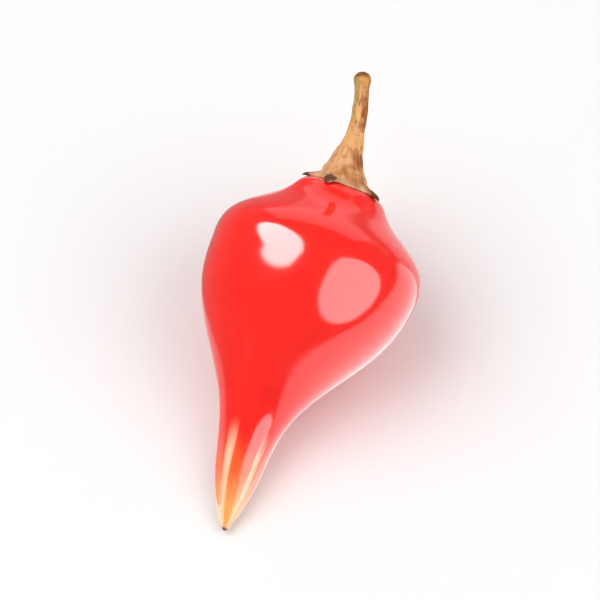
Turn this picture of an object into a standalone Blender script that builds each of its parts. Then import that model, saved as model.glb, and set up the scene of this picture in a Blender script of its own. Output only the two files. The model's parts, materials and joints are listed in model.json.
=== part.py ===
"""A fresh biquinho chilli pepper as it lies when picked: pod, calyx and stem.

Each piece is shaped in the pepper's own frame, where the pod's chord runs along Y, from the crown
under the calyx at Y = 0 to the tip of the beak towards -Y. The stem is towards +Y. The whole
pepper is then laid on the face that it rests on, so that its belly and its beak touch the ground
at Z = 0. Metres, +Z up.
"""

import math

import bmesh
import bpy
from mathutils import Matrix, Vector

# Pod
POD_LENGTH = 0.0265  # along the chord, from the crown to the tip of the beak
BELLY_WIDTH = 0.0154  # across the widest place, level with the ground
BELLY_DEPTH = 0.0148  # across the same place, square to the width
BEAK_BEND = 0.0006  # how far the middle of the beak leaves the chord
BEAK_BEND_START = 0.25  # share of the pod's length where the bend begins
BEAK_BEND_TURN = 20.0  # degrees that the bend is turned up from level
BEAK_CURL = 0.0013  # how far the tip curls off the chord
BEAK_CURL_START = 0.61  # share of the pod's length where the curl begins
BEAK_CURL_TURN = 110.0  # degrees that the curl is turned up from level
LOBES = 3
LOBE_RISE = 0.012  # how far a lobe stands out, as a share of the radius

# The rings of the pod's cage, from the crown to the tip: how far along the pod each one lies, and
# its radius as a share of the belly's.
POD_RINGS = (
    (0.003, 0.31),
    (0.014, 0.42),
    (0.062, 0.50),
    (0.116, 0.82),
    (0.172, 1.00),
    (0.257, 1.01),
    (0.356, 0.96),
    (0.456, 0.78),
    (0.554, 0.54),
    (0.647, 0.35),
    (0.741, 0.258),
    (0.834, 0.210),
    (0.898, 0.170),
    (0.942, 0.118),
    (0.972, 0.066),
)
POD_SIDES = 8
POD_LEVELS = 2

# Calyx
CALYX_WIDTH = 0.0060  # across the rim, at the teeth
CALYX_HEIGHT = 0.0030  # from the rim to the foot of the stem
CALYX_SKIRT = 0.0006  # how far the rim spreads beyond the plain cone
CALYX_SKIRT_POWER = 6  # how near the rim the skirt spreads
CALYX_LEAN = 0.0006  # how far the foot of the stem is off the chord, the way the stem bends
CALYX_BANDS = 8
CALYX_TURN = 26.0  # degrees from level to the first tooth
TEETH = 5
TOOTH_LENGTH = 0.0008
TOOTH_POWER = 4  # how near the rim the teeth part
SIDES_PER_TOOTH = 8

# Stem
STEM_WIDTH = 0.0011
STEM_LENGTH = 0.0048  # along its own curve
STEM_BEND = 32.0  # degrees between its two ends
STEM_BEND_TURN = 50.0  # degrees that its bend is turned up from level
FOOT_SHARE = 1.4  # the foot's width over the stem's
FOOT_POWER = 4  # how near the foot the stem widens
KNOB_SHARE = 1.2  # the knob's width over the stem's
KNOB_PLACE = 0.93  # share of the stem's length where the knob is widest
KNOB_SPREAD = 0.08  # share of the stem's length over which the knob fades
STEM_POINTS = 9

GAP = 0.0003  # between two pieces that grew together
RESTING_TURN = 35.0  # degrees that the pepper may turn from its level pose to find its rest


def clear_scene():
    """Remove the objects of the startup scene."""
    for leftover in list(bpy.data.objects):
        bpy.data.objects.remove(leftover)


def plain_material(name, colour, roughness):
    """A Principled material with one colour and roughness, and no metal."""
    material = bpy.data.materials.new(name)
    material.use_nodes = True
    shader = material.node_tree.nodes["Principled BSDF"]
    shader.inputs["Base Color"].default_value = (*colour, 1.0)
    shader.inputs["Roughness"].default_value = roughness
    shader.inputs["Metallic"].default_value = 0.0
    return material


def smooth_mesh(name, shape):
    """Turn an edited shape into a mesh that is shaded smooth, with its faces out."""
    bmesh.ops.recalc_face_normals(shape, faces=shape.faces)
    if shape.calc_volume(signed=True) < 0.0:
        bmesh.ops.reverse_faces(shape, faces=shape.faces)
    mesh = bpy.data.meshes.new(name)
    shape.to_mesh(mesh)
    shape.free()
    mesh.shade_smooth()
    return mesh


def add_piece(name, data, material, collection):
    """Put a mesh or a curve in the scene as one named piece of the pepper."""
    piece = bpy.data.objects.new(name, data)
    data.materials.append(material)
    collection.objects.link(piece)
    return piece


def turned_up(offset, degrees):
    """A step off the chord: to the side, and turned up from level by so many degrees."""
    turn = math.radians(degrees)
    return Vector((-offset * math.cos(turn), 0.0, offset * math.sin(turn)))


def pod_centre(share):
    """The middle of the pod at a share of its length. The beak bends and its tip curls up."""
    run = max(0.0, share - BEAK_BEND_START) / (1.0 - BEAK_BEND_START)
    bow = turned_up(BEAK_BEND * math.sin(math.pi * run), BEAK_BEND_TURN)
    run = max(0.0, share - BEAK_CURL_START) / (1.0 - BEAK_CURL_START)
    curl = turned_up(BEAK_CURL * run**2, BEAK_CURL_TURN)
    return bow + curl + Vector((0.0, -POD_LENGTH * share, 0.0))


def cage_scale(sides):
    """How much wider a ring of the cage is than the round ring it makes when subdivided."""
    return 3.0 / (2.0 + math.cos(2.0 * math.pi / sides))


def pod_corner(share, radius_share, angle):
    """A corner of the pod's cage, on the ring at a share of the pod's length."""
    lobe = 1.0 + LOBE_RISE * math.cos(LOBES * (angle - 0.5 * math.pi))
    reach = 0.5 * radius_share * lobe * cage_scale(POD_SIDES)
    across = BELLY_WIDTH * reach * math.cos(angle)
    up = BELLY_DEPTH * reach * math.sin(angle)
    return pod_centre(share) + Vector((across, 0.0, up))


def make_pod(material, collection):
    """The pod: a sphere whose rings are set out along the chord to the pod's outline."""
    rings = ((0.0, 0.0), *POD_RINGS, (1.0, 0.0))
    bands = len(rings) - 1
    cage = bmesh.new()
    bmesh.ops.create_uvsphere(cage, u_segments=POD_SIDES, v_segments=bands, radius=1.0)
    for corner in cage.verts:
        height = max(-1.0, min(1.0, corner.co.z))
        share, radius_share = rings[round(math.acos(height) / math.pi * bands)]
        angle = math.atan2(corner.co.y, corner.co.x)
        corner.co = pod_corner(share, radius_share, angle)
    pod = add_piece("pod", smooth_mesh("pod", cage), material, collection)
    modifier = pod.modifiers.new("round", "SUBSURF")
    modifier.levels = POD_LEVELS
    modifier.render_levels = POD_LEVELS
    return pod


def calyx_centre(rise):
    """The middle of the calyx at a share of its height. It leans the way the stem bends."""
    lean = turned_up(CALYX_LEAN * rise, STEM_BEND_TURN)
    return lean + Vector((0.0, GAP + CALYX_HEIGHT * rise, 0.0))


def calyx_radius(rise, angle):
    """The calyx's radius: a plain cone, and a skirt that parts into teeth at the rim."""
    foot = 0.5 * STEM_WIDTH * FOOT_SHARE
    cone = 0.5 * CALYX_WIDTH - CALYX_SKIRT - foot
    skirt = CALYX_SKIRT * (1.0 - rise) ** CALYX_SKIRT_POWER
    parting = 0.5 - 0.5 * math.cos(TEETH * (angle - math.radians(CALYX_TURN)))
    notch = TOOTH_LENGTH * parting * (1.0 - rise) ** TOOTH_POWER
    return foot + cone * (1.0 - rise) + skirt - notch


def make_calyx(material, collection):
    """The calyx: a cylinder drawn in to the stem's foot and spread to a toothed rim."""
    shape = bmesh.new()
    bmesh.ops.create_cone(
        shape,
        cap_ends=True,
        cap_tris=True,
        segments=TEETH * SIDES_PER_TOOTH,
        radius1=1.0,
        radius2=1.0,
        depth=1.0,
        matrix=Matrix.Translation((0.0, 0.0, 0.5)),
    )
    upright = [e for e in shape.edges if abs(e.verts[0].co.z - e.verts[1].co.z) > 0.5]
    bmesh.ops.subdivide_edges(shape, edges=upright, cuts=CALYX_BANDS - 1, use_grid_fill=True)
    for corner in shape.verts:
        rise = corner.co.z
        angle = math.atan2(corner.co.y, corner.co.x)
        radius = calyx_radius(rise, angle) * math.hypot(corner.co.x, corner.co.y)
        around = Vector((radius * math.cos(angle), 0.0, radius * math.sin(angle)))
        corner.co = calyx_centre(rise) + around
    return add_piece("calyx", smooth_mesh("calyx", shape), material, collection)


def stem_centre(share):
    """A point of the stem's arc, from its foot on the calyx at 0 to its cut end at 1."""
    bend = math.radians(STEM_BEND)
    radius = STEM_LENGTH / bend
    aside = turned_up(radius * (1.0 - math.cos(bend * share)), STEM_BEND_TURN)
    ahead = Vector((0.0, GAP + radius * math.sin(bend * share), 0.0))
    return calyx_centre(1.0) + aside + ahead


def stem_swell(share):
    """The stem's width at a share of its length, over its plain width: foot, shank and knob."""
    foot = (FOOT_SHARE - 1.0) * (1.0 - share) ** FOOT_POWER
    knob = (KNOB_SHARE - 1.0) * math.exp(-(((share - KNOB_PLACE) / KNOB_SPREAD) ** 2))
    return 1.0 + foot + knob


def make_stem(material, collection):
    """The stem: a bent tube with a flared foot and a swollen cut end."""
    curve = bpy.data.curves.new("stem", "CURVE")
    curve.dimensions = "3D"
    curve.bevel_depth = 0.5 * STEM_WIDTH
    curve.bevel_resolution = 3
    curve.use_fill_caps = True
    spline = curve.splines.new("POLY")
    spline.points.add(STEM_POINTS - 1)
    for index, point in enumerate(spline.points):
        share = index / (STEM_POINTS - 1)
        point.co = (*stem_centre(share), 1.0)
        point.radius = stem_swell(share)
    return add_piece("stem", curve, material, collection)


def solid_triangles(pieces):
    """The finished pieces as triangles, each three corners, where they stand now."""
    bpy.context.view_layer.update()
    graph = bpy.context.evaluated_depsgraph_get()
    triangles = []
    for piece in pieces:
        finished = piece.evaluated_get(graph)
        mesh = finished.to_mesh()
        mesh.calc_loop_triangles()
        corners = [finished.matrix_world @ vertex.co for vertex in mesh.vertices]
        triangles += [[corners[i] for i in tri.vertices] for tri in mesh.loop_triangles]
        finished.to_mesh_clear()
    return triangles


def centre_of_mass(triangles):
    """The middle of the solids that closed triangles bound."""
    volume = 0.0
    moment = Vector()
    for a, b, c in triangles:
        wedge = a.dot(b.cross(c))
        volume += wedge
        moment += wedge * (a + b + c) / 4.0
    return moment / volume


def stands_on(face, centre):
    """Whether the centre of mass is over this face of the hull, so that it can be stood on."""
    corners = [vertex.co for vertex in face.verts]
    following = corners[1:] + corners[:1]
    return all(
        face.normal.cross(after - before).dot(centre - before) >= 0.0
        for before, after in zip(corners, following)
    )


def resting_face_normal(triangles):
    """The outward normal of the face of the hull that holds the centre of mass lowest."""
    centre = centre_of_mass(triangles)
    hull = bmesh.new()
    for corner in sorted({tuple(corner) for triangle in triangles for corner in triangle}):
        hull.verts.new(corner)
    bmesh.ops.convex_hull(hull, input=hull.verts)
    hull.normal_update()
    downmost = -math.cos(math.radians(RESTING_TURN))
    rests = [
        (face.normal.dot(face.verts[0].co - centre), face.normal.copy())
        for face in hull.faces
        if face.normal.z < downmost and stands_on(face, centre)
    ]
    hull.free()
    return min(rests, key=lambda rest: rest[0])[1]


def lay_down(pieces, collection):
    """Lay the pepper on its resting face and centre it over the origin."""
    holder = bpy.data.objects.new("pepper", None)
    collection.objects.link(holder)
    for piece in pieces:
        piece.parent = holder
    underside = resting_face_normal(solid_triangles(pieces))
    holder.rotation_mode = "QUATERNION"
    holder.rotation_quaternion = underside.rotation_difference(Vector((0.0, 0.0, -1.0)))
    corners = [corner for triangle in solid_triangles(pieces) for corner in triangle]
    low = [min(corner[axis] for corner in corners) for axis in range(3)]
    high = [max(corner[axis] for corner in corners) for axis in range(3)]
    holder.location = (-0.5 * (low[0] + high[0]), -0.5 * (low[1] + high[1]), -low[2])


def main():
    """Build the pepper."""
    clear_scene()
    collection = bpy.data.collections.new("chilli_pepper")
    bpy.context.scene.collection.children.link(collection)
    pod = make_pod(plain_material("skin", (0.80, 0.03, 0.02), 0.18), collection)
    calyx = make_calyx(plain_material("calyx", (0.52, 0.30, 0.12), 0.75), collection)
    stem = make_stem(plain_material("stem", (0.55, 0.36, 0.13), 0.75), collection)
    lay_down([pod, calyx, stem], collection)


main()
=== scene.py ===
"""The looks of a fresh biquinho chilli pepper that lies on its belly: pod, calyx and stem.

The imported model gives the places. Each piece is drawn out ring by ring in the pepper's own frame,
where the crown under the calyx is at the origin, the beak points along -Y and +Z is the side that
faces up. It is then rounded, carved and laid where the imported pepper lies. Metres, +Z up.
"""

import json
import logging
import math
from collections.abc import Sequence
from dataclasses import dataclass, replace
from enum import Enum

import bpy
import numpy as np
from mathutils import Matrix, Quaternion, Vector, noise

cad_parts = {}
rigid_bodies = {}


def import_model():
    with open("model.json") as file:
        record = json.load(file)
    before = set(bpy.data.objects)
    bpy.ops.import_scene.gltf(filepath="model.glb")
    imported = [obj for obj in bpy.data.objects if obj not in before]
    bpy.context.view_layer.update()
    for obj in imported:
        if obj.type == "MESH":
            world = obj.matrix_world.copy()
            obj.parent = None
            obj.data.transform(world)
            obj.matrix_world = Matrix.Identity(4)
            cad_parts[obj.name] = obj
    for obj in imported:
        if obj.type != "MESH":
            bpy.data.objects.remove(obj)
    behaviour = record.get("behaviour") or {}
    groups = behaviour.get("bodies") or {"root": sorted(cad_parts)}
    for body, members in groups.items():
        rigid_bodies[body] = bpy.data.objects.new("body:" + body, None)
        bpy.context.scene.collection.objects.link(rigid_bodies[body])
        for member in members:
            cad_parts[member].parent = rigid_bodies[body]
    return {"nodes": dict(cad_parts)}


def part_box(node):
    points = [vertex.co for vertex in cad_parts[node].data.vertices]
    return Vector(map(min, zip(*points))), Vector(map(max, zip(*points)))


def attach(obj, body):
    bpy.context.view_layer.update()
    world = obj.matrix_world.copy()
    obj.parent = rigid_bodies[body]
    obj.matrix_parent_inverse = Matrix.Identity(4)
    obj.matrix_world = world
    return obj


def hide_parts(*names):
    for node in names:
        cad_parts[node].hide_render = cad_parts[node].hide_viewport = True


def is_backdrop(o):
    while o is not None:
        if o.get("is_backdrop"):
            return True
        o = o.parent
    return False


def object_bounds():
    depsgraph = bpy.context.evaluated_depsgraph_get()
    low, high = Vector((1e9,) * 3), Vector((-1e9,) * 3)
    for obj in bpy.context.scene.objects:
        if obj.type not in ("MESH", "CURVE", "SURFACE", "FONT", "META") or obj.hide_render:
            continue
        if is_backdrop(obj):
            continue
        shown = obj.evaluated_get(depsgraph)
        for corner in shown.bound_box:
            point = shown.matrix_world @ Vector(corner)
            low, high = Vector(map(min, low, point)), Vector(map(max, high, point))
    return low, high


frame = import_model()

logging.basicConfig(level=logging.INFO, format="%(name)s: %(message)s")
log = logging.getLogger("chilli_pepper")

BODY = "root"
MM = 0.001
CALYX_GAP = 0.3 * MM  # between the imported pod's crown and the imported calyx
UNDERSIDE_BAND = 0.15 * MM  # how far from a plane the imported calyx's underside may be
LIE_ROUNDS = 6  # rounds in which the underside's plane settles
CRACK_SHARPNESS = 7.0  # how narrow a crack is
CLOUD_ROUGHNESS = 0.55  # how strong the fine detail of painted noise is
LAMP_LIFT = 0.5 * MM  # height of a light that lies on the table
CARD_LIFT = 0.4 * MM  # height of the first grey card
CARD_STEP = 0.03 * MM  # height between one grey card and the next


# --------------------------------------------------------------------------- the pepper's frame


@dataclass(frozen=True)
class Lie:
    """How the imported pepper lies.

    Attributes:
        crown: Middle of the pod's crown, under the calyx.
        along: The way that the calyx's end of the pod's chord points.
        belly_width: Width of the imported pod, level with the ground.
    """

    crown: Vector
    along: Vector
    belly_width: float

    @classmethod
    def of_packed_pepper(cls) -> "Lie":
        """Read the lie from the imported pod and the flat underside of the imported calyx."""
        calyx = node_corners("calyx")
        along = calyx.mean(axis=0) - node_corners("pod").mean(axis=0)
        for _ in range(LIE_ROUNDS):
            height = calyx @ (along / np.linalg.norm(along))
            underside = calyx[height < height.min() + UNDERSIDE_BAND]
            middle = underside.mean(axis=0)
            across = np.linalg.svd(underside - middle, full_matrices=False)[2][2]
            along = across * np.sign(across @ along)
        low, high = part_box("pod")
        return cls(Vector(middle - CALYX_GAP * along), Vector(along), high.x - low.x)

    @property
    def matrix(self) -> Matrix:
        """The step from the pepper's own frame to the ground's."""
        side = self.along.cross(Vector((0.0, 0.0, 1.0))).normalized()
        up = side.cross(self.along)
        turn = Matrix((side, self.along, up)).transposed().to_4x4()
        return Matrix.Translation(self.crown) @ turn

    def touching_ground(self, pod: bpy.types.Object) -> "Lie":
        """The same lie, moved up or down until a pod in the pepper's frame touches the ground."""
        low = min((self.matrix @ vertex.co).z for vertex in pod.data.vertices)
        return replace(self, crown=self.crown - Vector((0.0, 0.0, low)))


def node_corners(node: str) -> np.ndarray:
    """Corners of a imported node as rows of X, Y and Z."""
    return np.array([vertex.co for vertex in frame["nodes"][node].data.vertices])


# --------------------------------------------------------------------------- modelling by hand


@dataclass(frozen=True)
class Ring:
    """One ring of a shape that is drawn out along a line.

    Attributes:
        centre: Middle of the ring.
        radius: Its radius.
        heading: Turn about Z from -Y, in radians, of the line at this ring.
    """

    centre: Vector
    radius: float
    heading: float = 0.0


class Bench:
    """The modelling steps that every piece shares."""

    @staticmethod
    def deselect_all() -> None:
        """Leave nothing selected and nothing active."""
        for thing in bpy.context.view_layer.objects:
            thing.select_set(False)
        bpy.context.view_layer.objects.active = None

    @staticmethod
    def draw_out(name: str, rings: Sequence[Ring], sides: int) -> bpy.types.Object:
        """Draw a disc out through a row of rings into a closed shape.

        Args:
            name: Name of the new piece.
            rings: The rings in order, from the disc that is drawn out to the last one.
            sides: Number of sides of each ring.

        Returns:
            The new piece, in object mode.
        """
        Bench.deselect_all()
        first = rings[0]
        bpy.ops.mesh.primitive_circle_add(
            vertices=sides,
            radius=first.radius,
            fill_type="NGON",
            location=first.centre,
            rotation=(0.5 * math.pi, 0.0, first.heading),
        )
        piece = bpy.context.object
        piece.name = name
        piece.data.name = name
        bpy.ops.object.transform_apply(location=True, rotation=True, scale=True)
        bpy.ops.object.mode_set(mode="EDIT")
        bpy.ops.mesh.select_all(action="SELECT")
        for before, after in zip(rings, rings[1:]):
            step = after.centre - before.centre
            bpy.ops.mesh.extrude_region_move(TRANSFORM_OT_translate={"value": step})
            scale = after.radius / before.radius
            bpy.ops.transform.resize(value=(scale,) * 3, center_override=after.centre)
            bend = after.heading - before.heading
            if abs(bend) > 1e-9:
                bpy.ops.transform.rotate(
                    value=-bend, orient_axis="Z", center_override=after.centre
                )
        bpy.ops.mesh.select_all(action="SELECT")
        bpy.ops.mesh.normals_make_consistent(inside=False)
        bpy.ops.object.mode_set(mode="OBJECT")
        return piece

    @staticmethod
    def round_off(piece: bpy.types.Object, levels: int) -> None:
        """Round a coarse piece with an applied Subdivision Surface, and shade it smooth.

        Args:
            piece: The piece, which becomes the active one.
            levels: How many times each face is split.
        """
        Bench.deselect_all()
        piece.select_set(True)
        bpy.context.view_layer.objects.active = piece
        modifier = piece.modifiers.new("round", "SUBSURF")
        modifier.levels = levels
        modifier.render_levels = levels
        bpy.ops.object.modifier_apply(modifier=modifier.name)
        bpy.ops.object.shade_smooth()

    @staticmethod
    def corners(piece: bpy.types.Object) -> np.ndarray:
        """The piece's corners as rows of X, Y and Z."""
        places = np.empty(3 * len(piece.data.vertices))
        piece.data.vertices.foreach_get("co", places)
        return places.reshape(-1, 3)

    @staticmethod
    def put_corners(piece: bpy.types.Object, places: np.ndarray) -> None:
        """Move the piece's corners to these rows of X, Y and Z."""
        piece.data.vertices.foreach_set("co", places.ravel())
        piece.data.update()

    @staticmethod
    def note(piece: bpy.types.Object, **notes: np.ndarray) -> None:
        """Keep numbers and vectors for each corner, for the piece's finish to read.

        Args:
            piece: The piece.
            notes: One number for each corner, or a row of three, under the attribute's name.
        """
        for name, values in notes.items():
            kind, part = ("FLOAT", "value") if values.ndim == 1 else ("FLOAT_VECTOR", "vector")
            attribute = piece.data.attributes.new(name, kind, "POINT")
            attribute.data.foreach_set(part, values.astype(np.float32).ravel())

    @staticmethod
    def lay(piece: bpy.types.Object, matrix: Matrix) -> None:
        """Move the piece's mesh, which leaves its object where it is."""
        piece.data.transform(matrix)
        piece.data.update()


def smooth_step(values: np.ndarray, low: float, high: float) -> np.ndarray:
    """0 below low, 1 above high, and a smooth rise between them."""
    share = np.clip((values - low) / (high - low), 0.0, 1.0)
    return share * share * (3.0 - 2.0 * share)


def rough(places: np.ndarray, frequency: float, seed: float) -> np.ndarray:
    """Smooth unevenness from -1 to 1 at each place.

    Args:
        places: Rows of X, Y and Z.
        frequency: Bumps per unit of length.
        seed: Shift that gives each use its own pattern.

    Returns:
        One number for each place.
    """
    shift = Vector((seed, 1.7 * seed, -0.6 * seed))
    return np.array([noise.noise(Vector(place) * frequency + shift) for place in places])


@dataclass(frozen=True)
class Unevenness:
    """Smooth unevenness of a surface.

    Attributes:
        rise: How far it rises.
        frequency: Bumps per unit of length.
        seed: Shift that gives each use its own pattern.
    """

    rise: float
    frequency: float
    seed: float

    def at(self, places: np.ndarray) -> np.ndarray:
        """How far it rises at each place."""
        return self.rise * rough(places, self.frequency, self.seed)


@dataclass(frozen=True)
class Waves:
    """Even waves round a piece.

    Attributes:
        count: How many go round it.
        rise: How far they stand out.
        turn: Shift round the piece, in radians of a wave.
    """

    count: float
    rise: float
    turn: float

    def at(self, angle: np.ndarray) -> np.ndarray:
        """How far they stand out at each angle."""
        return self.rise * np.cos(self.count * angle + self.turn)


@dataclass(frozen=True)
class Cracks:
    """Thin winding cracks that follow the grain, and come and go.

    Attributes:
        depth: How deep they are cut.
        frequency: Cracks per unit of the grain.
        seed: Shift that gives each use its own pattern.
        gap_frequency: Gaps per unit of length.
        gap_seed: Shift of the gaps' pattern.
        gap_span: Unevenness between which a crack comes back.
        least: Share of a crack that is left in a gap.
    """

    depth: float
    frequency: float
    seed: float
    gap_frequency: float
    gap_seed: float
    gap_span: tuple[float, float]
    least: float = 0.0

    def at(self, grain: np.ndarray, places: np.ndarray) -> np.ndarray:
        """How much of a crack there is at each place: 1 in its middle, and 0 away from it."""
        lines = 1.0 - CRACK_SHARPNESS * np.abs(rough(grain, self.frequency, self.seed))
        there = smooth_step(rough(places, self.gap_frequency, self.gap_seed), *self.gap_span)
        return np.clip(lines, 0.0, 1.0) * (self.least + (1.0 - self.least) * there)


# --------------------------------------------------------------------------- shader expressions


class Value:
    """A number that varies over a surface. Sums with it add Math nodes."""

    def __init__(self, paint: "Paint", socket: bpy.types.NodeSocket) -> None:
        """Wrap an output socket of the paint's node tree."""
        self.paint = paint
        self.socket = socket

    def maths(self, operation: str, *values: "Value | float") -> "Value":
        """Add a Math node on these values."""
        return self.paint.node("ShaderNodeMath", {"operation": operation}, dict(enumerate(values)))

    def __add__(self, other: "Value | float") -> "Value":
        """This plus another."""
        return self.maths("ADD", self, other)

    __radd__ = __add__

    def __mul__(self, other: "Value | float") -> "Value":
        """This times another."""
        return self.maths("MULTIPLY", self, other)

    __rmul__ = __mul__

    def __sub__(self, other: "Value | float") -> "Value":
        """This minus another."""
        return self.maths("SUBTRACT", self, other)

    def __rsub__(self, other: "Value | float") -> "Value":
        """Another minus this."""
        return self.maths("SUBTRACT", other, self)

    def between(self, low: float, high: float) -> "Value":
        """0 below low, 1 above high, and a smooth rise between them."""
        settings = {"interpolation_type": "SMOOTHSTEP"}
        return self.paint.node("ShaderNodeMapRange", settings, {0: self, 1: low, 2: high})


class Paint:
    """A material under construction, with a Principled shader at its end."""

    def __init__(self, name: str) -> None:
        """Start a material with nothing on its shader's sockets."""
        self.material = bpy.data.materials.new(name)
        self.material.use_nodes = True
        self.tree = self.material.node_tree
        self.shader = self.tree.nodes["Principled BSDF"]

    def node(self, kind: str, settings: dict, inputs: dict, output: int | str = 0) -> Value:
        """Add a node.

        Args:
            kind: The node's type.
            settings: Its properties. A ramp's stops are given as (place, colour) under "stops".
            inputs: Socket name or number to a value or a link.
            output: Name or number of the output wanted.

        Returns:
            That output.
        """
        node = self.tree.nodes.new(kind)
        for name, setting in settings.items():
            if name == "stops":
                self._set_stops(node.color_ramp, setting)
            else:
                setattr(node, name, setting)
        for name, given in inputs.items():
            self.feed(node.inputs[name], given)
        return Value(self, node.outputs[output])

    @staticmethod
    def _set_stops(ramp: bpy.types.ColorRamp, stops: Sequence[tuple]) -> None:
        """Give a ramp its stops, each a place and a colour."""
        while len(ramp.elements) < len(stops):
            ramp.elements.new(1.0)
        for element, (place, colour) in zip(ramp.elements, stops):
            element.position = place
            element.color = (*colour, 1.0)

    def feed(self, socket: bpy.types.NodeSocket, given: "Value | float | Sequence") -> None:
        """Link a value to a socket, or set the socket's own number or colour."""
        if isinstance(given, Value):
            self.tree.links.new(given.socket, socket)
        elif socket.type == "RGBA" and len(given) == 3:
            socket.default_value = (*given, 1.0)
        else:
            socket.default_value = given

    def set(self, **given: "Value | float | Sequence") -> None:
        """Set or link the shader's sockets, each named in small letters with underscores."""
        for name, value in given.items():
            socket = name.replace("_", " ").title().replace("Ior", "IOR")
            self.feed(self.shader.inputs[socket], value)

    def attribute(self, name: str, output: str = "Fac") -> Value:
        """A number, or a vector, that the piece keeps for each corner."""
        settings = {"attribute_name": name, "attribute_type": "GEOMETRY"}
        return self.node("ShaderNodeAttribute", settings, {}, output)

    def place(self) -> Value:
        """The place on the piece, in metres."""
        return self.node("ShaderNodeTexCoord", {}, {}, "Object")

    def facing(self, grain: Value, degrees: float) -> Value:
        """How far a grain's place round its piece faces an angle, from -1 to 1."""
        turn = math.radians(degrees)
        inputs = {0: grain, 1: (math.cos(turn), 0.0, math.sin(turn))}
        return self.node("ShaderNodeVectorMath", {"operation": "DOT_PRODUCT"}, inputs, "Value")

    def clouds(self, where: Value, scale: float, detail: float = 3.0) -> Value:
        """Soft noise from 0 to 1 at a place."""
        inputs = {"Vector": where, "Scale": scale, "Detail": detail, "Roughness": CLOUD_ROUGHNESS}
        return self.node("ShaderNodeTexNoise", {}, inputs)

    def ramp(self, along: Value, stops: Sequence[tuple]) -> Value:
        """A colour that changes along a value."""
        return self.node("ShaderNodeValToRGB", {"stops": stops}, {0: along})

    def mix(
        self, under: "Value | Sequence", over: "Value | Sequence", share: "Value | float"
    ) -> Value:
        """Lay one colour over another.

        Args:
            under: The colour beneath.
            over: The colour laid on it.
            share: How much of it is laid on.

        Returns:
            The mixed colour.
        """
        settings = {"data_type": "RGBA", "blend_type": "MIX"}
        return self.node("ShaderNodeMix", settings, {0: share, 6: under, 7: over}, 2)

    def bump(self, height: Value, depth: float) -> None:
        """Raise the surface by a height from 0 to 1, times a depth in metres."""
        inputs = {"Strength": 1.0, "Distance": depth, "Height": height}
        self.set(normal=self.node("ShaderNodeBump", {}, inputs))


# --------------------------------------------------------------------------- finishes

Colour = tuple[float, float, float]


@dataclass(frozen=True)
class PodSkin:
    """Glossy waxy skin, red on the belly and orange to yellow on the beak.

    Attributes:
        red: Belly.
        deep_red: Clouds on the belly.
        orange: Middle of the beak.
        amber: End of the beak.
        crest_highlight: Painted highlight streaks on the crests of the beak's ridges.
        scar: Dry spot at the tip.
        beak_start: Share of the pod's length where red begins to turn orange.
        orange_place: How much further it is orange.
        amber_place: How much further it is amber.
        crest_highlight_span: Shares of the length between which the painted highlight streaks on
            the crests come up.
        crest_highlight_share: How much of the painted highlight lies on a crest.
        scar_span: Shares of the length between which the dry spot fades in.
        streak_shift: How far the streaks move the beak's colours, as a share of the length.
        mottle_scale: Clouds per metre.
        pore_scale: Pores per metre.
        relief: Depth of streaks and pores.
        gloss: Least roughness.
    """

    red: Colour = (0.92, 0.012, 0.006)
    deep_red: Colour = (0.82, 0.008, 0.004)
    orange: Colour = (0.93, 0.12, 0.018)
    amber: Colour = (0.90, 0.36, 0.09)
    crest_highlight: Colour = (0.95, 0.64, 0.42)
    scar: Colour = (0.18, 0.06, 0.025)
    beak_start: float = 0.70
    orange_place: float = 0.13
    amber_place: float = 0.22
    crest_highlight_span: tuple[float, float] = (0.68, 0.80)
    crest_highlight_share: float = 0.85
    scar_span: tuple[float, float] = (0.976, 0.984)
    streak_shift: float = 0.10
    mottle_scale: float = 260.0
    pore_scale: float = 2600.0
    relief: float = 0.010 * MM
    gloss: float = 0.10

    def material(self) -> bpy.types.Material:
        """Build the skin's material."""
        paint = Paint("pod_skin")
        place = paint.place()
        along = paint.attribute("along")
        crest = paint.attribute("crest")
        streaks = paint.clouds(paint.attribute("grain", "Vector"), 3.0, 4.0)
        mottle = paint.clouds(place, self.mottle_scale, 4.0)
        pores = paint.clouds(place, self.pore_scale, 2.0)
        deep = (mottle * 0.6 + streaks * 0.4).between(0.45, 0.75)
        skin = paint.mix(self.red, self.deep_red, deep)
        edge = along + (streaks - 0.5) * self.streak_shift
        stops = (
            (self.beak_start, self.red),
            (self.beak_start + self.orange_place, self.orange),
            (self.beak_start + self.amber_place, self.amber),
            (1.0, self.amber),
        )
        on_beak = edge.between(self.beak_start, self.beak_start + self.streak_shift)
        skin = paint.mix(skin, paint.ramp(edge, stops), on_beak)
        # Pale streaks along the beak's ridge crests: painted highlights.
        pale = (crest + (streaks - 0.5) * 1.2).between(0.45, 0.95)
        pale = pale * edge.between(*self.crest_highlight_span) * self.crest_highlight_share
        skin = paint.mix(skin, self.crest_highlight, pale)
        skin = paint.mix(skin, self.scar, along.between(*self.scar_span))
        paint.bump(pores * 0.25 + streaks, self.relief)
        paint.set(
            base_color=skin,
            roughness=self.gloss + mottle * 0.04,
            ior=1.45,
            specular_ior_level=0.5,
            subsurface_weight=0.2,
            subsurface_radius=(1.0, 0.12, 0.06),
            subsurface_scale=1.2 * MM,
        )
        return paint.material


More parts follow.
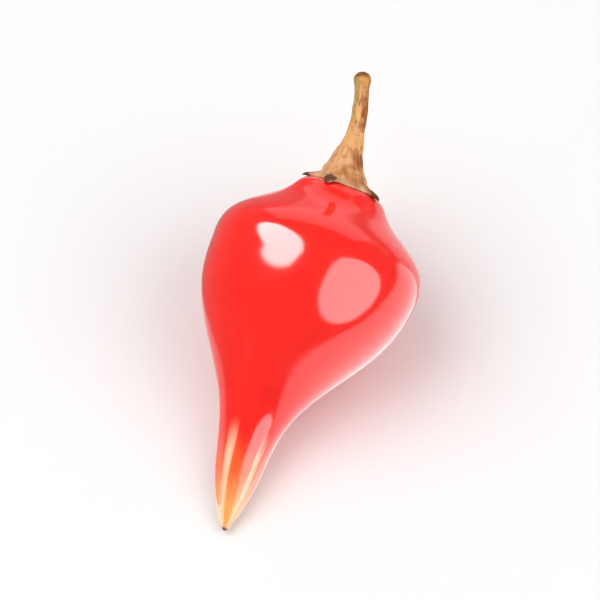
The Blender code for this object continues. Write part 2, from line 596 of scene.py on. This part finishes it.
@dataclass(frozen=True)
class DryTissue:
    """What the dry finishes share: how they are cracked, speckled and weathered.

    Attributes:
        peach: Palest skin.
        ochre: Yellowish skin.
        rust_and_shade: Specks and weathered patches, and painted shade on one side; on the calyx
            also painted shade in the cracks.
        dark: Darkest brown.
        fibre_scale: Fibres round the piece.
        patch_scale: Patches of colour per metre.
        speck_scale: Specks per metre.
        aged_scale: Weathered patches per metre.
        relief: Depth of fibres and specks.
        sheen: Specular level.
    """

    peach: Colour
    ochre: Colour
    rust_and_shade: Colour
    dark: Colour
    fibre_scale: float
    patch_scale: float
    speck_scale: float
    aged_scale: float
    relief: float = 0.06 * MM
    sheen: float = 0.03

    def noises(self, paint: Paint, grain: Value) -> tuple[Value, Value, Value, Value]:
        """Noise for the fibres, the patches, the specks and the weathering."""
        place = paint.place()
        return (
            paint.clouds(grain, self.fibre_scale, 5.0),
            paint.clouds(place, self.patch_scale),
            paint.clouds(place, self.speck_scale),
            paint.clouds(place, self.aged_scale, 2.0),
        )

    def join_colour(self, paint: Paint, patches: Value) -> Value:
        """The colour where the stem grows out of the calyx, which both share."""
        return paint.mix(self.peach, self.ochre, patches.between(0.3, 0.7))

    def finish(
        self, paint: Paint, skin: Value, roughness: Value, fibres: Value, specks: Value
    ) -> None:
        """Set the shader's colour, roughness and relief.

        Args:
            paint: The material.
            skin: Its colour.
            roughness: Its roughness.
            fibres: Noise that runs along the piece.
            specks: Fine noise.
        """
        paint.set(base_color=skin, roughness=roughness, specular_ior_level=self.sheen)
        paint.bump(fibres * 0.6 + specks * 0.4, self.relief)


@dataclass(frozen=True)
class DryCalyx(DryTissue):
    """Dry, cracked, peach-tan cap with cracks brown partly as painted shade, and dark points on its
    teeth.

    Attributes:
        tan: Skin between the peach patches.
        rim_highlight: Pale colour near the rim, a painted highlight of its rolled edge.
        shaded_side: Degrees from level of the side that is browner, as painted shade.
    """

    peach: Colour = (0.78, 0.43, 0.22)
    ochre: Colour = (0.66, 0.33, 0.09)
    rust_and_shade: Colour = (0.29, 0.070, 0.014)
    dark: Colour = (0.105, 0.030, 0.010)
    fibre_scale: float = 11.0
    patch_scale: float = 520.0
    speck_scale: float = 2400.0
    aged_scale: float = 640.0
    tan: Colour = (0.56, 0.25, 0.08)
    rim_highlight: Colour = (0.62, 0.42, 0.29)
    shaded_side: float = 30.0

    def material(self) -> bpy.types.Material:
        """Build the calyx's material."""
        paint = Paint("dry_calyx")
        grain = paint.attribute("grain", "Vector")
        crack = paint.attribute("crack")
        fibres, patches, specks, aged = self.noises(paint, grain)
        pale = (patches * 0.6 + fibres * 0.4).between(0.40, 0.60)
        skin = paint.mix(self.tan, self.peach, pale)
        # Browner patches, pulled towards one side, where the browning is painted shade.
        aged_and_shaded = paint.facing(grain, self.shaded_side) * 0.20 + aged * 0.8
        skin = paint.mix(skin, self.rust_and_shade, aged_and_shaded.between(0.50, 0.66) * 0.75)
        top = (paint.attribute("rise") + (patches - 0.5) * 0.5).between(0.55, 0.95)
        skin = paint.mix(skin, self.join_colour(paint, patches), top * 0.6)
        rim = paint.attribute("along").between(0.66, 0.86)
        # Paler rim: painted highlight where the rolled edge catches light.
        skin = paint.mix(skin, self.rim_highlight, rim * (0.40 + patches * 0.4))
        skin = paint.mix(skin, self.rust_and_shade, specks.between(0.56, 0.73) * 0.6)
        # Brown in the cracks: partly the split skin's own colour, partly painted shade in their
        # recesses.
        skin = paint.mix(skin, self.rust_and_shade, crack * 0.85)
        burnt = (paint.attribute("tooth") * 0.75 + (aged - 0.5) * 1.7).between(0.30, 0.58) * rim
        skin = paint.mix(skin, self.dark, burnt * 0.92)
        self.finish(paint, skin, 0.52 + fibres * 0.3 + crack * 0.1, fibres, specks)
        return paint.material


@dataclass(frozen=True)
class DryStem(DryTissue):
    """Dry, ribbed, ochre stalk with olive and peach patches, cracks dark partly as painted shade, a
    dark cut end.

    Attributes:
        olive: Weathered side near the cut end.
        olive_side: Degrees round the stem of the olive side.
        shaded_side: Degrees round the stem of the side that is browner, as painted shade.
    """

    peach: Colour = (0.78, 0.43, 0.20)
    ochre: Colour = (0.66, 0.33, 0.09)
    rust_and_shade: Colour = (0.29, 0.070, 0.012)
    dark: Colour = (0.16, 0.048, 0.010)
    fibre_scale: float = 9.0
    patch_scale: float = 560.0
    speck_scale: float = 2600.0
    aged_scale: float = 620.0
    olive: Colour = (0.40, 0.32, 0.09)
    olive_side: float = 225.0
    shaded_side: float = 60.0

    def material(self) -> bpy.types.Material:
        """Build the stem's material."""
        paint = Paint("dry_stem")
        grain = paint.attribute("grain", "Vector")
        along = paint.attribute("along")
        fibres, patches, specks, aged = self.noises(paint, grain)
        pale = (patches * 0.7 + fibres * 0.3).between(0.42, 0.60)
        skin = paint.mix(self.ochre, self.peach, pale)
        green = paint.facing(grain, self.olive_side) * 0.30 + aged * 0.6
        upper = along.between(0.25, 0.60)
        skin = paint.mix(skin, self.olive, green.between(0.34, 0.52) * upper * 0.8)
        # Browner patches, pulled towards one side, where the browning is painted shade.
        aged_and_shaded = paint.facing(grain, self.shaded_side) * 0.22 + (1.0 - aged) * 0.8
        skin = paint.mix(skin, self.rust_and_shade, aged_and_shaded.between(0.50, 0.64) * 0.75)
        foot = 1.0 - (along + (patches - 0.5) * 0.12).between(0.14, 0.34)
        skin = paint.mix(skin, self.join_colour(paint, patches), foot * 0.6)
        skin = paint.mix(skin, self.rust_and_shade, specks.between(0.56, 0.72) * 0.6)
        # Dark in the cracks: partly the split skin's own colour, partly painted shade in their
        # recesses.
        skin = paint.mix(skin, self.dark, paint.attribute("crack") * 0.8)
        cut_end = (along + (patches - 0.5) * 0.16).between(0.925, 0.985)
        skin = paint.mix(skin, self.dark, cut_end * 0.85)
        self.finish(paint, skin, 0.55 + fibres * 0.3, fibres, specks)
        return paint.material


@dataclass(frozen=True)
class Tabletop:
    """Matt, faintly clouded surface.

    Attributes:
        light: Palest colour.
        shade: Colour of the clouds.
        cloud_scale: Clouds per metre.
    """

    light: Colour = (0.82, 0.82, 0.82)
    shade: Colour = (0.80, 0.80, 0.805)
    cloud_scale: float = 8.0

    def material(self) -> bpy.types.Material:
        """Build the surface's material."""
        paint = Paint("tabletop")
        clouds = paint.clouds(paint.place(), self.cloud_scale)
        surface = paint.mix(self.light, self.shade, clouds)
        paint.set(base_color=surface, roughness=0.6 + clouds * 0.1, specular_ior_level=0.0)
        return paint.material


GREY_CARD = Tabletop((0.34, 0.34, 0.34), (0.33, 0.33, 0.33))


# --------------------------------------------------------------------------- pieces


@dataclass
class Pod:
    """The fruit, from the crown under the calyx to the tip of the beak.

    Attributes:
        lie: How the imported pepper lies.
        length: From the crown to the tip of the beak.
        depth_share: Depth of the belly over its width.
        beak_bend: How far the middle of the beak leaves the chord.
        bend_start: Share of the length where the bend begins.
        bend_turn: Degrees that the bend is turned up from level.
        lobe_rise: How far the three lobes stand out, as a share of the radius.
        ridges: Number of ridges that run down the beak.
        ridge_turn: Angle of one of them, in degrees from level.
        ridge_rise: How far they stand out, as a share of the radius.
        corners: The beak's three rounded corners, as shares of the radius.
        beak_span: Shares of the length between which ridges and corners rise.
        folds: Folds at the crown, as shares of the radius.
        fold_span: Shares of the length between which they rise.
        fold_fade: Share of the length over which they fade.
        bumps: Unevenness of the whole skin, as shares of the radius.
        curl: How far the tip curls up.
        curl_start: Share of the length where the curl begins.
        curl_turn: Degrees that the curl is turned from upright towards +X.
        outline: Share of the length and of the belly's radius for each ring.
        sides: Sides of the coarse rings.
        levels: How many times the coarse faces are split.
    """

    lie: Lie
    length: float = 26.5 * MM
    depth_share: float = 0.961
    beak_bend: float = 0.6 * MM
    bend_start: float = 0.25
    bend_turn: float = 20.0
    lobe_rise: float = 0.012
    ridges: int = 5
    ridge_turn: float = 112.0
    ridge_rise: float = 0.050
    corners: Waves = Waves(3.0, 0.025, 1.4)
    beak_span: tuple[float, float] = (0.62, 0.90)
    folds: tuple[Waves, ...] = (Waves(5.0, 0.013, 0.4), Waves(9.0, 0.0078, 2.0))
    fold_span: tuple[float, float] = (0.0, 0.03)
    fold_fade: float = 0.085
    bumps: tuple[Unevenness, ...] = (
        Unevenness(0.005, 190.0, 3.1),
        Unevenness(0.0015, 520.0, 7.7),
    )
    curl: float = 1.3 * MM
    curl_start: float = 0.61
    curl_turn: float = 20.0
    outline: tuple[tuple[float, float], ...] = (
        (0.003, 0.20),
        (0.004, 0.32),
        (0.014, 0.415),
        (0.062, 0.50),
        (0.116, 0.82),
        (0.172, 1.00),
        (0.257, 1.01),
        (0.356, 0.96),
        (0.456, 0.78),
        (0.554, 0.54),
        (0.647, 0.35),
        (0.741, 0.258),
        (0.834, 0.210),
        (0.898, 0.152),
        (0.942, 0.094),
        (0.971, 0.050),
        (0.990, 0.022),
    )
    sides: int = 16
    levels: int = 3

    def centre(self, share: np.ndarray) -> np.ndarray:
        """The middle of the pod at shares of its length, as rows of X, Y and Z."""
        run = np.clip((share - self.bend_start) / (1.0 - self.bend_start), 0.0, None)
        bow = self.beak_bend * np.sin(math.pi * np.minimum(run, 1.0))
        turn = math.radians(self.bend_turn)
        run = np.clip(share - self.curl_start, 0.0, None) / (1.0 - self.curl_start)
        curl = self.curl * run**2
        tilt = math.radians(self.curl_turn)
        across = curl * math.sin(tilt) - bow * math.cos(turn)
        rows = (across, -self.length * share, bow * math.sin(turn) + curl * math.cos(tilt))
        return np.stack(rows, axis=-1)

    def build(self) -> bpy.types.Object:
        """Draw the pod out, round it off and carve it.

        Returns:
            The pod, in the pepper's own frame.
        """
        swell = 3.0 / (2.0 + math.cos(math.tau / self.sides))  # rounding off takes it back
        belly = 0.5 * self.lie.belly_width * swell
        rings = [Ring(Vector((0.0, -self.length * y, 0.0)), belly * r) for y, r in self.outline]
        pod = Bench.draw_out("pod_fruit", rings, self.sides)
        Bench.round_off(pod, self.levels)
        self._carve(pod)
        return pod

    def _carve(self, pod: bpy.types.Object) -> None:
        """Give the round pod its lobes, folds, ridges and bend, and note its grain."""
        places = Bench.corners(pod)
        share = np.clip(-places[:, 1] / self.length, 0.0, 1.0)
        angle = np.arctan2(places[:, 2], places[:, 0])
        lobes = self.lobe_rise * np.cos(3.0 * (angle - 0.5 * math.pi))
        beak = smooth_step(share, *self.beak_span)
        crest = np.cos(self.ridges * (angle - math.radians(self.ridge_turn)))
        ridges = beak * (self.ridge_rise * crest + self.corners.at(angle))
        crown = np.exp(-((share / self.fold_fade) ** 2)) * smooth_step(share, *self.fold_span)
        folds = crown * sum(fold.at(angle) for fold in self.folds)
        swell = 1.0 + lobes + ridges + folds + sum(bump.at(places) for bump in self.bumps)
        carved = self.centre(share)
        carved[:, 1] = places[:, 1]
        carved[:, 0] += places[:, 0] * swell
        carved[:, 2] += places[:, 2] * swell * self.depth_share
        Bench.put_corners(pod, carved)
        grain = np.stack((np.cos(angle), 1.4 * share, np.sin(angle)), axis=-1)
        Bench.note(pod, along=share, crest=crest, grain=grain)


@dataclass
class Calyx:
    """The dry cap that spreads from the stem on to the crown.

    Attributes:
        profile: Height over the crown and radius of each ring, in millimetres, from the top.
        lean: How far the top is off the chord.
        lean_turn: Degrees that the lean is turned up from level.
        teeth: Number of teeth.
        tooth_turn: Angle of one tooth, in degrees from level.
        tooth_length: From the deepest notch to a tooth's point.
        tooth_power: How narrow a tooth is.
        tooth_base: What a tooth rises from, as a share of its length.
        ragged: Raggedness of the rim, as a share of a tooth's length.
        reach_end: Radius from which the teeth have their whole length.
        cone_span: Shares of the height between which ribs and cracks come up.
        top_span: Shares of the height between which they fade again.
        top_fade: How much of them fades at the top.
        rib_rise: How far the ribs of the cone stand out.
        rib_bumps: Their unevenness.
        skin_bumps: Unevenness of the skin.
        skin_span: Radii between which it comes up.
        rim_bumps: Unevenness of the rim's height.
        cracks: The cracks that run down the cone.
        rim_cracks: Share of their depth on the rim.
        tooth_curl: How far a tooth's point curls up.
        curl_start: Radius where it begins to.
        rim_lift: How far the rim lies over the crown.
        highest: Place over the crown from which the crown is felt.
        lowest: Lowest place that the rim may reach down to.
        rim_radius: Radius of the whole rim.
        hug_start: Radius where the cap begins to follow the crown.
        hug_end: Radius from which it lies on the crown.
        sides: Sides of the coarse rings.
        levels: How many times the coarse faces are split.
    """

    profile: tuple[tuple[float, float], ...] = (
        (3.20, 0.45),
        (2.85, 0.75),
        (2.45, 0.98),
        (2.00, 1.15),
        (1.50, 1.32),
        (1.15, 1.52),
        (0.90, 1.70),
        (0.70, 1.70),
        (0.52, 1.80),
        (0.36, 2.08),
        (0.22, 2.42),
        (0.10, 2.62),
        (0.00, 2.60),
        (-0.06, 2.35),
        (-0.16, 1.60),
        (-0.20, 0.70),
    )
    lean: float = 0.6 * MM
    lean_turn: float = 50.0
    teeth: int = 5
    tooth_turn: float = 26.0
    tooth_length: float = 1.0 * MM
    tooth_power: float = 2.6
    tooth_base: float = 0.45
    ragged: Unevenness = Unevenness(0.30, 600.0, 9.0)
    reach_end: float = 2.55 * MM
    cone_span: tuple[float, float] = (0.12, 0.30)
    top_span: tuple[float, float] = (0.8, 1.0)
    top_fade: float = 0.6
    rib_rise: float = 0.09 * MM
    rib_bumps: Unevenness = Unevenness(0.10 * MM, 2.6, 8.0)
    skin_bumps: Unevenness = Unevenness(0.05 * MM, 1500.0, 3.3)
    skin_span: tuple[float, float] = (0.5 * MM, 1.2 * MM)
    rim_bumps: Unevenness = Unevenness(0.05 * MM, 900.0, 1.3)
    cracks: Cracks = Cracks(0.13 * MM, 4.3, 2.6, 420.0, 5.0, (-0.3, 0.3), 0.35)
    rim_cracks: float = 0.4
    tooth_curl: float = 0.16 * MM
    curl_start: float = 2.2 * MM
    rim_lift: float = 0.05 * MM
    highest: float = 5.0 * MM
    lowest: float = -1.2 * MM
    rim_radius: float = 2.6 * MM
    hug_start: float = 1.7 * MM
    hug_end: float = 2.3 * MM
    sides: int = 40
    levels: int = 2

    @property
    def height(self) -> float:
        """From the crown to the top of the cap."""
        return self.profile[0][0] * MM

    def build(self, fruit: bpy.types.Object) -> bpy.types.Object:
        """Draw the calyx out, round it off and carve it.

        Args:
            fruit: The pod, in the pepper's own frame.

        Returns:
            The calyx, in the pepper's own frame.
        """
        rings = [Ring(Vector((0.0, high * MM, 0.0)), radius * MM) for high, radius in self.profile]
        calyx = Bench.draw_out("calyx_cap", rings, self.sides)
        Bench.round_off(calyx, self.levels)
        self._carve(calyx, fruit)
        return calyx

    def _carve(self, calyx: bpy.types.Object, fruit: bpy.types.Object) -> None:
        """Give the round calyx its teeth, cracks and lean, lay it on the crown, note its grain."""
        places = Bench.corners(calyx)
        rise = places[:, 1] / self.height
        radius = np.hypot(places[:, 0], places[:, 2])
        angle = np.arctan2(places[:, 2], places[:, 0])
        phase = self.teeth * (angle - math.radians(self.tooth_turn))
        tooth = (0.5 + 0.5 * np.cos(phase + 0.5 * np.sin(2.0 * angle + 1.0))) ** self.tooth_power
        rim = smooth_step(radius, self.hug_start, self.reach_end)
        faded = self.top_fade * smooth_step(rise, *self.top_span)
        cone = smooth_step(rise, *self.cone_span) * (1.0 - faded)
        grain = np.stack((np.cos(angle), 0.28 * rise, np.sin(angle)), axis=-1)
        crack = self.cracks.at(grain, places)
        reach = self.tooth_length * (tooth - self.tooth_base + self.ragged.at(places)) * rim
        ribs = self.rib_rise * np.cos(phase) * cone + self.rib_bumps.at(grain) * cone
        outward = reach + ribs - self.cracks.depth * crack * (cone + self.rim_cracks * rim)
        outward += self.skin_bumps.at(places) * smooth_step(radius, *self.skin_span)
        lean = self.lean * np.clip(rise, 0.0, 1.0)
        turn = math.radians(self.lean_turn)
        arm = np.maximum(radius, 0.1 * MM)
        carved = places.copy()
        carved[:, 0] += places[:, 0] * outward / arm - lean * math.cos(turn)
        carved[:, 2] += places[:, 2] * outward / arm + lean * math.sin(turn)
        hug = smooth_step(radius, self.hug_start, self.hug_end)
        curl = self.tooth_curl * tooth * smooth_step(radius, self.curl_start, self.rim_radius)
        carved[:, 1] += curl + self.rim_bumps.at(places) * rim
        carved[:, 1] += hug * (self._crown_heights(fruit, carved) + self.rim_lift)
        Bench.put_corners(calyx, carved)
        share = np.clip((radius + reach) / self.rim_radius, 0.0, 1.3)
        rise = np.clip(rise, 0.0, 1.0)
        Bench.note(calyx, along=share, rise=rise, tooth=tooth * rim, crack=crack, grain=grain)

    def _crown_heights(self, fruit: bpy.types.Object, places: np.ndarray) -> np.ndarray:
        """Height of the fruit's crown under each place."""
        heights = np.zeros(len(places))
        down = Vector((0.0, -1.0, 0.0))
        for index, (across, _, up) in enumerate(places):
            hit, spot, _, _ = fruit.ray_cast(Vector((across, self.highest, up)), down)
            heights[index] = spot.y if hit else 0.0
        return np.maximum(heights, self.lowest)


@dataclass
class Stem:
    """The thin dry stalk, bent, with a swollen cut end.

    Attributes:
        calyx: The calyx that it grows from.
        foot_rise: Share of the calyx's height where it starts.
        width: Width of its shank.
        length: Length along its own curve.
        swellings: Knot, waist and knob. Each has how much it adds to the width, its share of the
            length and its spread.
        foot_swelling: How much the foot adds to the width.
        foot_power: How near the foot the stem widens.
        round_start: Share of the length where the cut end begins to round off.
        round_run: Share of the length over which it would close.
        round_least: Least square of its width.
        ribs: Number of ribs.
        rib_rise: How far they stand out, as a share of the radius.
        rib_twist: How far they wind along the whole stem, in radians of a wave.
        rib_bumps: Their unevenness, as a share of the radius.
        wrinkles: Unevenness of its skin, as a share of the radius.
        slants: Wander of the stem to the side.
        slant_span: Shares of the length between which it comes up.
        cracks: Its cracks, with their depth as a share of the radius.
        bend: Degrees between its two ends.
        stations: Shares of the length for the coarse rings.
        sides: Sides of the coarse rings.
        levels: How many times the coarse faces are split.
    """

    calyx: Calyx
    foot_rise: float = 0.70
    width: float = 1.10 * MM
    length: float = 6.1 * MM
    swellings: tuple[tuple[float, float, float], ...] = (
        (0.07, 0.50, 0.05),
        (-0.07, 0.76, 0.08),
        (0.16, 0.93, 0.07),
    )
    foot_swelling: float = 1.02
    foot_power: float = 4.8
    round_start: float = 0.93
    round_run: float = 0.071
    round_least: float = 0.03
    ribs: int = 5
    rib_rise: float = 0.07
    rib_twist: float = 1.5
    rib_bumps: Unevenness = Unevenness(0.16, 1.7, 2.5)
    wrinkles: Unevenness = Unevenness(0.07, 1500.0, 6.0)
    slants: Unevenness = Unevenness(0.07 * MM, 5.0, 0.4)
    slant_span: tuple[float, float] = (0.1, 0.3)
    cracks: Cracks = Cracks(0.20, 3.2, 6.6, 500.0, 2.0, (-0.35, 0.25))
    bend: float = 28.0
    stations: tuple[float, ...] = (
        0.0, 0.06, 0.12, 0.18, 0.25, 0.32, 0.39, 0.46, 0.53, 0.60, 0.67, 0.74,
        0.80, 0.86, 0.91, 0.95, 0.975, 0.99, 1.0,
    )
    sides: int = 12
    levels: int = 3

    def swell(self, share: float) -> float:
        """Width at a share of the length, over the shank's."""
        width = 1.0 + self.foot_swelling * (1.0 - share) ** self.foot_power
        for swelling, place, spread in self.swellings:
            width += swelling * math.exp(-(((share - place) / spread) ** 2))
        run = max(share - self.round_start, 0.0) / self.round_run
        return width * math.sqrt(max(self.round_least, 1.0 - run**2))

    def build(self) -> bpy.types.Object:
        """Draw the stem out along its arc, round it off and carve it.

        Returns:
            The stem, in the pepper's own frame.
        """
        bend = math.radians(self.bend)
        arc = self.length / bend
        foot = Vector((-self.calyx.lean, self.calyx.height, 0.0)) * self.foot_rise
        rings = []
        for share in self.stations:
            turn = bend * share
            step = Vector((-arc * (1.0 - math.cos(turn)), arc * math.sin(turn), 0.0))
            rings.append(Ring(foot + step, 0.5 * self.width * self.swell(share), turn))
        stem = Bench.draw_out("stem_stalk", rings, self.sides)
        Bench.round_off(stem, self.levels)
        self._carve(stem, foot, arc, bend)
        Bench.lay(stem, Matrix.Rotation(math.radians(self.calyx.lean_turn), 4, "Y"))
        return stem

    def _carve(self, stem: bpy.types.Object, foot: Vector, arc: float, bend: float) -> None:
        """Give the round stem its ribs, cracks and wrinkles, and note its grain.

        Args:
            stem: The piece.
            foot: Where its arc begins.
            arc: Radius of its arc.
            bend: Angle of its arc, in radians.
        """
        places = Bench.corners(stem)
        from_hub = places - (np.array(foot) - np.array((arc, 0.0, 0.0)))
        turn = np.arctan2(from_hub[:, 1], from_hub[:, 0])
        share = turn / bend
        middle = np.stack((arc * np.cos(turn), arc * np.sin(turn), 0.0 * turn), axis=-1)
        spoke = from_hub - middle
        across = spoke[:, 0] * np.cos(turn) + spoke[:, 1] * np.sin(turn)
        angle = np.arctan2(spoke[:, 2], across)
        grain = np.stack((np.cos(angle), 0.9 * share, np.sin(angle)), axis=-1)
        crack = self.cracks.at(grain, places)
        ribs = self.rib_rise * np.cos(self.ribs * angle + self.rib_twist * share)
        ribs += self.rib_bumps.at(grain)
        relief = ribs + self.wrinkles.at(places) - self.cracks.depth * crack
        slant = self.slants.at(np.stack((share, 0.0 * share, 0.0 * share), axis=-1))
        carved = places + spoke * relief[:, None]
        carved[:, 2] += slant * smooth_step(share, *self.slant_span)
        Bench.put_corners(stem, carved)
        Bench.note(stem, along=np.clip(share, 0.0, 1.0), crack=crack, grain=grain)


def settle(
    piece: bpy.types.Object, finish: PodSkin | DryCalyx | DryStem, node: str
) -> None:
    """Give a piece its finish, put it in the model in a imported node's stead, and report it.

    Args:
        piece: The piece, where it lies.
        finish: Its finish.
        node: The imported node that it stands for.
    """
    piece.data.materials.append(finish.material())
    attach(piece, BODY)
    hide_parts(node)
    low, high = (Vector(corner) for corner in (piece.bound_box[0], piece.bound_box[6]))
    size = (high - low) / MM
    log.info("%s: %d faces, %.1f x %.1f x %.1f mm", piece.name, len(piece.data.polygons), *size)


# --------------------------------------------------------------------------- studio


class Reach(Enum):
    """What a light does: whether it lights matt surfaces, and whether it shows in glossy ones."""

    GLOW = (True, False)
    SHEEN = (False, True)


class Outline(Enum):
    """The outline of a light."""

    SQUARE = "RECTANGLE"
    ROUND = "ELLIPSE"

    @property
    def fill(self) -> float:
        """Share of its width times its height that it covers."""
        return 0.25 * math.pi if self is Outline.ROUND else 1.0


@dataclass(frozen=True)
class Softbox:
    """A flat soft light that faces the pepper, or lies on the table and faces up.

    Attributes:
        name: Its name.
        azimuth: Degrees round the pepper, with 0 on the -Y side and 90 on the +X side.
        elevation: Degrees above the ground, or 0 for one that lies on the table.
        distance: Distance from the pepper, in metres.
        width: Width in metres.
        height: Height in metres.
        radiance: Brightness, where 1 is a white wall in full light.
        reach: What it does.
        roll: Degrees that it is turned about the line to the pepper.
        outline: Its outline.
    """

    name: str
    azimuth: float
    elevation: float
    distance: float
    width: float
    height: float
    radiance: float
    reach: Reach
    roll: float = 0.0
    outline: Outline = Outline.SQUARE

    def light(self, target: Vector) -> None:
        """Hang the light.

        Args:
            target: Middle of the pepper.
        """
        data = bpy.data.lights.new(self.name, "AREA")
        data.shape = self.outline.value
        data.size = self.width
        data.size_y = self.height
        area = self.width * self.height * self.outline.fill
        data.energy = self.radiance * math.pi * area
        lamp = bpy.data.objects.new(self.name, data)
        bpy.context.scene.collection.objects.link(lamp)
        away = direction(self.azimuth, self.elevation)
        lamp.location = target + away * self.distance
        if self.elevation == 0.0:
            lamp.location.z = LAMP_LIFT
            lamp.rotation_euler = (math.pi, 0.0, math.radians(self.azimuth - 90.0))
        else:
            aim = away.to_track_quat("Z", "Y") @ Quaternion((0, 0, 1), math.radians(self.roll))
            lamp.rotation_euler = aim.to_euler()
        lamp.visible_camera = False
        lamp.visible_diffuse, lamp.visible_glossy = self.reach.value


@dataclass(frozen=True)
class Studio:
    """A pale table under soft light, and the camera.

    Attributes:
        azimuth: The camera's place round the pepper, in degrees.
        elevation: The camera's height, in degrees above the ground.
        distance: The camera's distance, in metres.
        lens: The camera's focal length, in millimetres.
        table_size: Width of the table, in metres.
        sky: Brightness of the room.
        softboxes: The lights.
        flags: Grey cards on the table that keep parts of the pepper's flanks deep red. Each has
            its middle's X and Y, its length and its width, in metres.
    """

    azimuth: float = 20.2
    elevation: float = 60.0
    distance: float = 0.50
    lens: float = 420.0
    table_size: float = 8.0
    sky: float = 0.46
    softboxes: tuple[Softbox, ...] = (
        Softbox("main_glow", -70.0, 58.0, 0.45, 0.40, 0.40, 2.85, Reach.GLOW),
        Softbox("fill_glow", 86.0, 48.0, 0.45, 0.40, 0.40, 2.05, Reach.GLOW),
        Softbox(
            "key_sheen", -92.0, 54.0, 0.45, 0.31, 0.56, 21.0, Reach.SHEEN, -36.0, Outline.ROUND
        ),
        Softbox(
            "window_sheen", 69.0, 27.0, 0.11, 0.130, 0.134, 7.4, Reach.SHEEN, 0.0, Outline.ROUND
        ),
        Softbox("back_sheen", -172.0, 15.0, 0.30, 0.35, 0.18, 1.05, Reach.SHEEN),
        Softbox(
            "side_table_sheen", 61.0, 0.0, 0.026, 0.042, 0.140, 1.75, Reach.SHEEN,
            outline=Outline.ROUND,
        ),
    )
    flags: tuple[tuple[float, float, float, float], ...] = (
        (-0.460, 0.010, 0.900, 0.500),
        (0.488, -0.060, 0.900, 0.800),
        (0.050, 0.075, 0.110, 0.090),
    )

    def build(self, target: Vector) -> None:
        """Lay the table, light it and place the camera.

        Args:
            target: What the camera looks at.
        """
        self._table()
        for number, flag in enumerate(self.flags):
            self._flag(number, *flag)
        self._room()
        for softbox in self.softboxes:
            softbox.light(target)
        self._camera(target)

    def _table(self) -> None:
        """Lay the table at the pepper's ground."""
        Bench.deselect_all()
        bpy.ops.mesh.primitive_plane_add(size=self.table_size)
        table = bpy.context.object
        table.name = "tabletop"
        table.data.materials.append(Tabletop().material())
        table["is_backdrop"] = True

    def _flag(self, number: int, across: float, back: float, length: float, width: float) -> None:
        """Lay a grey card on the table, where only glossy skin shows it.

        Args:
            number: Number in the card's name.
            across: X of its middle.
            back: Y of its middle.
            length: Its length, along X.
            width: Its width, along Y.
        """
        Bench.deselect_all()
        bpy.ops.mesh.primitive_circle_add(vertices=64, radius=0.5, fill_type="NGON")
        card = bpy.context.object
        card.name = f"grey_card_{number}"
        card.data.transform(Matrix.Diagonal((length, width, 1.0, 1.0)))
        card.data.transform(Matrix.Translation((across, back, CARD_LIFT + CARD_STEP * number)))
        card.data.materials.append(GREY_CARD.material())
        card.visible_camera = False
        card.visible_diffuse = False
        card.visible_transmission = False
        card.visible_shadow = False
        card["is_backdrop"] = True

    def _room(self) -> None:
        """Fill the room with even light."""
        world = bpy.data.worlds.new("studio")
        world.use_nodes = True
        world.node_tree.nodes["Background"].inputs["Color"].default_value = (1.0, 1.0, 1.0, 1.0)
        world.node_tree.nodes["Background"].inputs["Strength"].default_value = self.sky
        bpy.context.scene.world = world
        bpy.context.scene.view_settings.view_transform = "Standard"

    def _camera(self, target: Vector) -> None:
        """Point the camera at the target from above."""
        data = bpy.data.cameras.new("camera")
        data.lens = self.lens
        data.clip_start = 0.01
        data.clip_end = 20.0
        camera = bpy.data.objects.new("camera", data)
        bpy.context.scene.collection.objects.link(camera)
        away = direction(self.azimuth, self.elevation)
        camera.location = target + away * self.distance
        camera.rotation_euler = away.to_track_quat("Z", "Y").to_euler()
        bpy.context.scene.camera = camera


def direction(azimuth: float, elevation: float) -> Vector:
    """The way from the pepper to something at this azimuth and elevation, in degrees."""
    turn, rise = math.radians(azimuth), math.radians(elevation)
    level = math.cos(rise)
    return Vector((math.sin(turn) * level, -math.cos(turn) * level, math.sin(rise)))


def main() -> None:
    """Build the pepper's looks and the studio, and report each piece."""
    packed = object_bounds()
    lie = Lie.of_packed_pepper()
    log.info("belly %.1f mm wide, chord along %s", lie.belly_width / MM, tuple(lie.along))
    calyx = Calyx()
    fruit = Pod(lie).build()
    cap = calyx.build(fruit)
    stalk = Stem(calyx).build()
    matrix = lie.touching_ground(fruit).matrix
    for piece in (fruit, cap, stalk):
        Bench.lay(piece, matrix)
    settle(fruit, PodSkin(), "pod")
    settle(cap, DryCalyx(), "calyx")
    settle(stalk, DryStem(), "stem")
    Studio().build(0.5 * (packed[0] + packed[1]))


if __name__ == "__main__":
    main()
